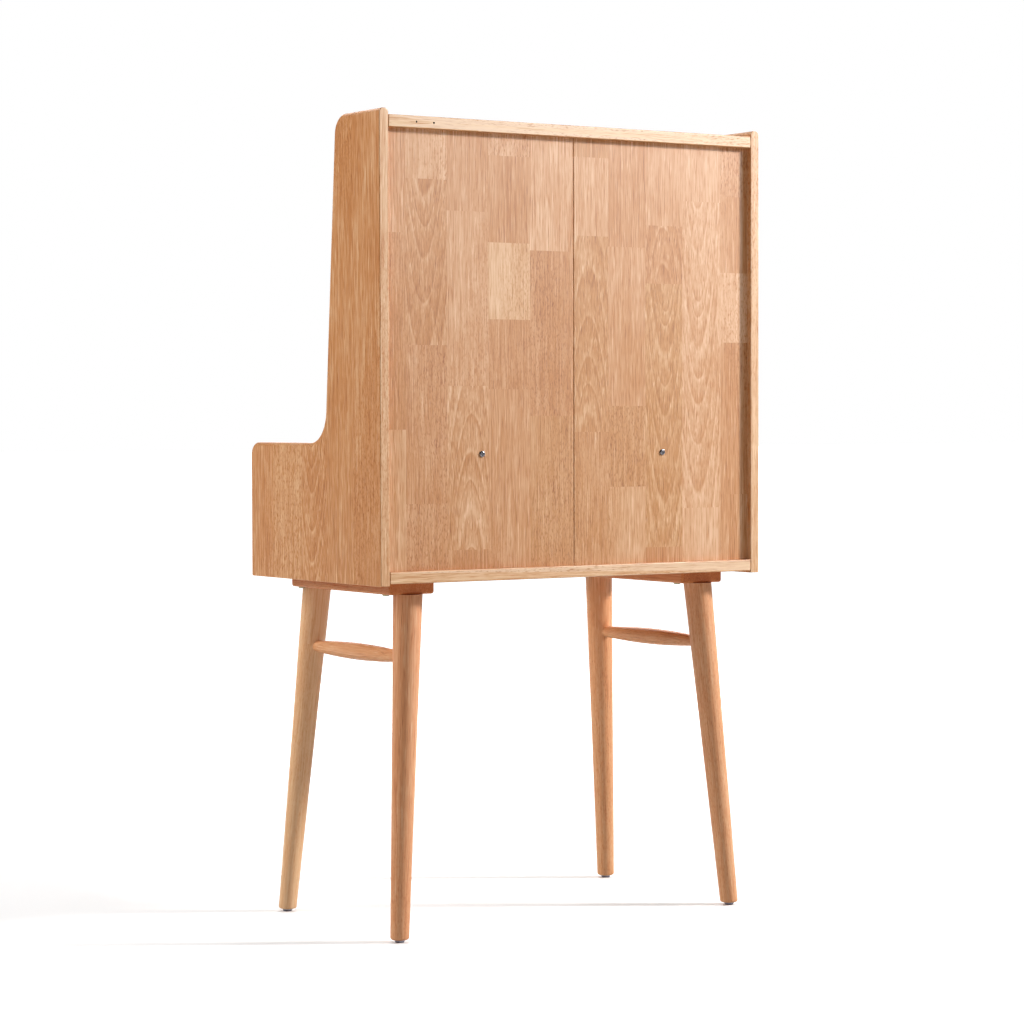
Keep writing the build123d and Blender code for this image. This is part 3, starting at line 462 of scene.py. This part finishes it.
def random_board(node, material, along, face, seed, width=STAVE_WIDTH, lengths=STAVE_LENGTHS,
                 rim_sheen=0.0, arch=None, tone=None, warmth=None):
    """A board whose staves are laid by seeded chance: rows about width wide, in random lengths,
    or in one full-length piece each where lengths is None."""
    dice = random.Random(seed)
    board = Board(along, face)
    low, high = span(node, board.across)
    start, stop = span(node, board.along)
    count = max(1, round((high - low) / width))
    edges = [low + (high - low) * k / count for k in range(count + 1)]
    for k in range(1, count):
        edges[k] += dice.uniform(-ROW_SHIFT, ROW_SHIFT) * width
    columns, staves = [], []
    for a, b in zip(edges, edges[1:]):
        ends = []
        place = start + dice.uniform(*FIRST_JOINT) * lengths[1] if lengths else stop
        while place < stop - END_CLEAR:
            ends.append(place)
            place += dice.uniform(*lengths)
        columns.append((a, b, ends))
        staves.append([Stave(dice, tone, arch, warmth) for _ in range(len(ends) + 1)])
    timber_piece(node, material, board, columns, staves, rim_sheen)


# The two back panels, stave by stave, in millimetres: each row's width, outwards from the seam,
# then its staves from the bottom up, as (upper end, tone, arch of the figure)
BACK_TOP = 1210
BACK_ROWS = {
    "back_panel_right": [
        (80, [(780, -0.1, 0), (1030, 0.0, 0), (BACK_TOP, 0.4, 0)]),
        (75, [(820, 0.1, 0), (925, -0.7, 0), (1040, 0.8, 0), (1170, -0.7, 0), (BACK_TOP, 0.5, 0)]),
        (73, [(580, -1.2, 0), (825, 0.2, 1), (1085, 0.4, 0), (BACK_TOP, 0.1, 0)]),
        (72, [(650, -0.2, 0), (885, -0.2, 0), (1130, -0.9, -1), (BACK_TOP, 0.6, 0)]),
        (39, [(760, 0.3, 0), (1050, -0.2, 0), (BACK_TOP, 0.3, 0)]),
    ],
    "back_panel_left": [
        (65, [(755, 0.1, 0), (1055, -0.1, 1), (1175, 0.5, 0), (BACK_TOP, 0.0, 0)]),
        (70, [(670, 0.4, 0), (795, -1.0, 0), (1040, 0.2, 0), (BACK_TOP, -0.6, 0)]),
        (71, [(575, 0.0, 0), (985, -0.1, -1), (1075, -0.3, 1), (BACK_TOP, 0.3, 0)]),
        (75, [(635, 0.7, 0), (1115, 0.5, -1), (BACK_TOP, 0.5, 0)]),
        (58, [(655, -1.2, 0), (895, -0.9, 0), (1005, 0.8, 0), (1125, 0.1, 0), (BACK_TOP, -0.4, 0)]),
    ],
}


def back_panel(node, seed):
    """One back panel, from its list of staves."""
    dice = random.Random(seed)
    board = Board(Z, Y)
    outward = 1 if sum(span(node, X)) > 0 else -1
    edge = 0.0
    columns, staves = [], []
    for width, row in BACK_ROWS[node]:
        near, far = outward * edge, outward * (edge + width * MM)
        a, b = sorted((near * board.across.x, far * board.across.x))
        columns.append((a, b, [top * MM for top, tone, arch in row[:-1]]))
        staves.append([Stave(dice, tone, arch) for top, tone, arch in row])
        edge += width * MM
    order = sorted(range(len(columns)), key=lambda k: columns[k][0])
    columns = [columns[k] for k in order]
    staves = [staves[k] for k in order]
    timber_piece(node, STAVE_WOOD, board, columns, staves)


for number, node in enumerate(BACK_ROWS):
    back_panel(node, 20 + number)


# The tone added to the boards' long narrow edges, and to those of each side panel: a painted sheen,
# weaker on the left side panel
RIM_SHEEN = 1.3
SIDE_RIM_SHEENS = {"left": 0.4, "right": 1.3}
BORE_DEPTH = 0.003


def case_boards():
    """The fixed boards of the case."""
    for number, (side, rim_sheen) in enumerate(SIDE_RIM_SHEENS.items()):
        random_board("side_panel_" + side, CASE_WOOD, Z, X, 40 + number, 0.078, None,
                     rim_sheen=rim_sheen)
    for number, node in enumerate(("top_board", "deck_board", "bottom_board", "hutch_shelf")):
        random_board(node, CASE_WOOD, X, Z, 50 + number, 0.066, rim_sheen=RIM_SHEEN)
    random_board("centre_divider", CASE_WOOD, Y, X, 60)
    for number, side in enumerate(("left", "right")):
        random_board("pigeonhole_divider_" + side, CASE_WOOD, Z, X, 62 + number)
        random_board("flap_stop_" + side, CASE_WOOD, X, Z, 64 + number, lengths=None)
        for where in ("outer", "inner"):
            random_board(f"drawer_runner_{side}_{where}", CASE_WOOD, Y, Z, 66 + number,
                         lengths=None)


def paint_bore_shade(node):
    """Paints shade into the bores of a plain board: they get a near-black wood of their own, for the
    shade inside them. They are its faces that lie deeper inside it than BORE_DEPTH."""
    mesh = bpy.data.objects["timber_" + node].data
    mesh.materials.append(BORE_SHADE_WOOD)
    low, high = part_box(node)
    for polygon in mesh.polygons:
        centre = polygon.center
        depth = min(min(centre[k] - low[k], high[k] - centre[k]) for k in range(3))
        if depth > BORE_DEPTH:
            polygon.material_index = 1


# How far back the flap leans, and over what height, in millimetres
FLAP_LEAN = (35, 490)


def moving_boards():
    """The flap and the drawers."""
    lean = math.atan2(*FLAP_LEAN)
    sloped = Vector((0, math.sin(lean), math.cos(lean)))
    random_board("flap_panel", CASE_WOOD, X, sloped.cross(X), 80, 0.070, (0.2, 0.45))
    for number, side in enumerate(("left", "right")):
        drawer = f"drawer_{side}_"
        random_board(drawer + "front", CASE_WOOD, X, Y, 84 + number, 0.080)
        for end, seed in (("inner_side", 90), ("outer_side", 92)):
            random_board(drawer + end, BOX_WOOD, Y, X, seed + number, 0.065, None)
        random_board(drawer + "back", BOX_WOOD, X, Y, 94 + number, 0.055, None)


# Tone and warmth of each leg, and of the stretchers
LEGS = {
    "front_left": (0.1, 0.8),
    "back_left": (0.2, 0.3),
    "front_right": (0.9, 1.4),
    "back_right": (-0.1, -1.1),
}
STRETCHERS = (-0.4, 0.8)
# How far a leg leans in along X and along Y, and over what height, in millimetres
LEG_WAY = (37, 34, 512)
# Wider than any piece of the base, so that each is one stave
ONE_STAVE = 0.2


def base_parts():
    """The rails, legs and stretchers, each with its grain along its own length."""
    seed = 100
    for side, sign in (("left", -1), ("right", 1)):
        random_board("rail_" + side, RAIL_WOOD, Y, Z, seed, ONE_STAVE, None)
        tone, warmth = STRETCHERS
        random_board("stretcher_" + side, BASE_WOOD, Y, X, seed + 1, ONE_STAVE, None,
                     arch=0, tone=tone, warmth=warmth)
        for end, front in (("front", -1), ("back", 1)):
            seed += 2
            along = Vector((-sign * LEG_WAY[0], -front * LEG_WAY[1], LEG_WAY[2]))
            tone, warmth = LEGS[f"{end}_{side}"]
            random_board(f"leg_{end}_{side}", BASE_WOOD, along, Y, seed, ONE_STAVE, None,
                         arch=0, tone=tone, warmth=warmth)


case_boards()
paint_bore_shade("top_board")
moving_boards()
base_parts()

# ---------------------------------------------------------------- other finishes


# How much the tool marks vary a metal's roughness
MARKS = 0.24


def metal(name, colour, roughness):
    """Plated or turned metal, with faint tool marks and a brighter edge."""
    made, tree, shader = new_material(name)
    place = put(tree, "TexCoord").outputs["Object"]
    cloud = noise(tree, place, (300, 300, 300), 3.0).outputs["Fac"]
    marks = noise(tree, place, (4000, 4000, 400), 2.0).outputs["Fac"]
    dark = tuple(0.72 * c for c in colour)
    bright = tuple(min(1.0, 1.15 * c) for c in colour)
    light = maths(tree, "MULTIPLY_ADD", edge_mask(tree, 0.0003), 0.4, maths(tree, "MULTIPLY", cloud, 0.9))
    plating = ramp(tree, light, (0.2, dark), (0.5, colour), (0.95, bright))
    tree.links.new(plating, shader.inputs["Base Color"])
    dull = maths(tree, "MULTIPLY_ADD", maths(tree, "SUBTRACT", marks, 0.5), MARKS, roughness)
    tree.links.new(dull, shader.inputs["Roughness"])
    bump = put(tree, "Bump", Strength=0.3, Distance=0.00002, Height=marks)
    tree.links.new(bump.outputs["Normal"], shader.inputs["Normal"])
    shader.inputs["Metallic"].default_value = 1.0
    return made


def felt(name, colour):
    """Short felt: a soft, matt, hairy surface."""
    made, tree, shader = new_material(name)
    place = put(tree, "TexCoord").outputs["Object"]
    hair = noise(tree, place, (2500, 2500, 2500), 4.0, 0.7).outputs["Fac"]
    dark = tuple(0.5 * c for c in colour)
    tree.links.new(ramp(tree, hair, (0.3, dark), (0.7, colour)), shader.inputs["Base Color"])
    bump = put(tree, "Bump", Strength=0.8, Distance=0.0004, Height=hair)
    tree.links.new(bump.outputs["Normal"], shader.inputs["Normal"])
    shader.inputs["Roughness"].default_value = 0.95
    shader.inputs["Sheen Weight"].default_value = 0.1
    return made


# Two layers of plywood
PLY_PAIR = 0.0024


def plywood():
    """Thin birch plywood for the drawer bottoms: a pale rotary-cut face and striped edges."""
    made, tree, shader = new_material("plywood")
    place = put(tree, "TexCoord").outputs["Object"]
    wavy = noise(tree, place, (9, 30, 20), 3.0).outputs["Fac"]
    lines = maths(tree, "SINE", maths(tree, "MULTIPLY", wavy, 70.0))
    streak = noise(tree, place, (20, 900, 900), 2.0).outputs["Fac"]
    face = maths(tree, "MULTIPLY_ADD", lines, 0.10, maths(tree, "MULTIPLY_ADD", streak, 0.35, 0.32))
    height = put(tree, "SeparateXYZ", Vector=place).outputs["Z"]
    layer = maths(tree, "SINE", maths(tree, "MULTIPLY", height, 2 * math.pi / PLY_PAIR))
    up = put(tree, "SeparateXYZ", Vector=put(tree, "NewGeometry").outputs["True Normal"]).outputs["Z"]
    side = maths(tree, "SUBTRACT", 1.0, maths(tree, "ABSOLUTE", up))
    light = maths(tree, "MULTIPLY_ADD", maths(tree, "MULTIPLY", layer, side), 0.25, face)
    colour = ramp(tree, light, (0.1, (0.42, 0.25, 0.12)), (0.5, (0.76, 0.54, 0.32)),
                  (0.9, (0.90, 0.74, 0.52)))
    tree.links.new(colour, shader.inputs["Base Color"])
    tree.links.new(maths(tree, "MULTIPLY_ADD", streak, 0.2, 0.45), shader.inputs["Roughness"])
    bump = put(tree, "Bump", Strength=0.25, Distance=0.0001, Height=streak)
    tree.links.new(bump.outputs["Normal"], shader.inputs["Normal"])
    return made


ZINC = metal("zinc_steel", (0.62, 0.63, 0.65), 0.28)
YELLOW_ZINC = metal("yellow_zinc", (0.30, 0.27, 0.15), 0.35)
DARK_STEEL = metal("dark_steel", (0.17, 0.16, 0.17), 0.26)
NICKEL = metal("nickel", (0.36, 0.37, 0.42), 0.32)
GLIDE_PAD = metal("glide_pad", (0.10, 0.11, 0.17), 0.50)
BRASS = metal("brass", (0.78, 0.56, 0.26), 0.26)
MAGNET = metal("magnet", (0.42, 0.42, 0.44), 0.38)
FELT = felt("felt", (0.30, 0.20, 0.13))
PLYWOOD = plywood()
FINISHES = {"zinc_steel": ZINC, "brass": BRASS, "magnet": MAGNET, "felt": FELT, "plywood": PLYWOOD}

for node, piece in frame["nodes"].items():
    if piece.hide_render:
        continue
    for slot_place in piece.material_slots:
        kind = slot_place.material.name.split(".")[0]
        slot_place.link = "OBJECT"
        slot_place.material = FINISHES.get(kind, DOWEL_WOOD)
frame["nodes"]["rail_screws"].material_slots[0].material = YELLOW_ZINC
frame["nodes"]["back_panel_screws"].material_slots[0].material = DARK_STEEL

GLIDE_R = 7.5 * MM
GLIDE_HEIGHT = 4 * MM
LATHE_STEPS = 40


def lathe(made, outline, centre, material):
    """Turns an outline of (radius, height) round a vertical line through the centre."""
    rings = []
    for radius, height in outline:
        steps = LATHE_STEPS if radius else 1
        turns = [2 * math.pi * k / steps for k in range(steps)]
        places = [Vector((radius * math.cos(a), radius * math.sin(a), height)) for a in turns]
        rings.append([made.verts.new(centre + place) for place in places])
    for low, high in zip(rings, rings[1:]):
        for k in range(LATHE_STEPS):
            after = k + 1
            corners = [low[k % len(low)], low[after % len(low)]]
            corners += [high[after % len(high)], high[k % len(high)]]
            face = made.faces.new(list(dict.fromkeys(corners)))
            face.smooth = True
            face.material_index = material


def glides():
    """The four foot glides: a domed nickel cup with a darker pad pressed into it."""
    low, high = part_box("foot_glides")
    radius, height = GLIDE_R, GLIDE_HEIGHT
    cup = [(0.0, height), (0.90 * radius, height), (radius, 0.86 * height), (radius, 0.50 * height),
           (0.95 * radius, 0.40 * height), (0.88 * radius, 0.38 * height)]
    pad = [(0.88 * radius, 0.38 * height), (0.92 * radius, 0.30 * height), (0.92 * radius, 0.14 * height),
           (0.84 * radius, 0.02 * height), (0.76 * radius, 0.0), (0.0, 0.0)]
    made = bmesh.new()
    for x in (low.x + radius, high.x - radius):
        for y in (low.y + radius, high.y - radius):
            lathe(made, cup, Vector((x, y, 0)), 0)
            lathe(made, pad, Vector((x, y, 0)), 1)
    bmesh.ops.remove_doubles(made, verts=made.verts, dist=MERGE_REACH)
    bmesh.ops.recalc_face_normals(made, faces=made.faces)
    mesh = bpy.data.meshes.new("glide_cups")
    made.to_mesh(mesh)
    made.free()
    mesh.materials.append(NICKEL)
    mesh.materials.append(GLIDE_PAD)
    piece = bpy.data.objects.new("glide_cups", mesh)
    bpy.context.scene.collection.objects.link(piece)
    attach(piece, body_of(frame["nodes"]["foot_glides"])[0])
    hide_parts("foot_glides")


glides()

# ---------------------------------------------------------------- floor, light, camera


def floor():
    """A plain pale floor, which diffuse rays pass through."""
    mesh = bpy.data.meshes.new("floor")
    h = FLOOR_HALF
    mesh.from_pydata([(-h, -h, 0), (h, -h, 0), (h, h, 0), (-h, h, 0)], [], [(0, 1, 2, 3)])
    made, tree, shader = new_material("floor")
    place = put(tree, "TexCoord").outputs["Object"]
    cloud = noise(tree, place, (1.5, 1.5, 1.5), 3.0).outputs["Fac"]
    shader.inputs["Base Color"].default_value = FLOOR_COLOUR
    tree.links.new(maths(tree, "MULTIPLY_ADD", cloud, 0.1, 0.75), shader.inputs["Roughness"])
    away = put(tree, "VectorMath", {"operation": "LENGTH"}, i0=place).outputs["Value"]
    tree.links.new(remap(tree, away, *FLOOR_GLOW), shader.inputs["Emission Strength"])
    shader.inputs["Emission Color"].default_value = (1, 1, 1, 1)
    mesh.materials.append(made)
    piece = bpy.data.objects.new("floor", mesh)
    bpy.context.scene.collection.objects.link(piece)
    piece.visible_diffuse = False


def soft_box(name, toward, distance, size, power, matt=True, gloss=True):
    """A square area light, aimed at the object's middle. It lights matt surfaces, gloss, or both."""
    data = bpy.data.lights.new(name, "AREA")
    data.size = size
    data.energy = power
    lamp = bpy.data.objects.new(name, data)
    bpy.context.scene.collection.objects.link(lamp)
    way = Vector(toward).normalized()
    lamp.location = AIM + way * distance
    lamp.rotation_mode = "QUATERNION"
    lamp.rotation_quaternion = way.to_track_quat("Z", "Y")
    lamp.visible_diffuse = matt
    lamp.visible_glossy = gloss


def top_light():
    """A very wide sun straight above, which gloss doesn't show."""
    data = bpy.data.lights.new("top", "SUN")
    data.energy = TOP_STRENGTH
    data.angle = math.radians(TOP_ANGLE)
    lamp = bpy.data.objects.new("top", data)
    bpy.context.scene.collection.objects.link(lamp)
    lamp.visible_glossy = False


def studio_walls():
    """Walls all round that the camera sees as white, and that give a soft, even light."""
    world = bpy.data.worlds.new("studio")
    bpy.context.scene.world = world
    world.use_nodes = True
    tree = world.node_tree
    height = put(tree, "SeparateXYZ", Vector=put(tree, "TexCoord").outputs["Generated"]).outputs["Z"]
    light = remap(tree, height, -HORIZON_MIX, HORIZON_MIX, FLOOR_LIGHT, WALL_LIGHT)
    path = put(tree, "LightPath").outputs
    share = maths(tree, "MULTIPLY_ADD", path["Is Glossy Ray"], -GLOSS_LOSS, 1.0)
    light = maths(tree, "MULTIPLY", light, share)
    background = tree.nodes["Background"].inputs
    tree.links.new(maths(tree, "MAXIMUM", path["Is Camera Ray"], light), background["Strength"])
    background["Color"].default_value = (1, 1, 1, 1)


def camera():
    """The camera behind the desk's right-hand back corner, turned by yaw, pitch and roll."""
    yaw, pitch, roll = (math.radians(a) for a in (CAMERA_YAW, CAMERA_PITCH, CAMERA_ROLL))
    ahead = Vector((-math.sin(yaw) * math.cos(pitch), -math.cos(yaw) * math.cos(pitch), math.sin(pitch)))
    right = ahead.cross(Z).normalized()
    up = right.cross(ahead)
    turned = math.cos(roll) * right + math.sin(roll) * up
    data = bpy.data.cameras.new("camera")
    data.lens = CAMERA_LENS
    data.sensor_width = SENSOR_WIDTH
    piece = bpy.data.objects.new("camera", data)
    bpy.context.scene.collection.objects.link(piece)
    place = Matrix((turned, turned.cross(ahead), -ahead)).transposed().to_4x4()
    place.translation = Vector(CAMERA_PLACE)
    piece.matrix_world = place
    bpy.context.scene.camera = piece


floor()
soft_box("key", *KEY)
soft_box("veil", *VEIL, matt=False)
soft_box("side_veil", *SIDE_VEIL, matt=False)
soft_box("fill", *FILL, gloss=False)
soft_box("front", *FRONT)
top_light()
studio_walls()
camera()
bpy.context.scene.view_settings.view_transform = "Standard"
bpy.context.scene.view_settings.look = "None"
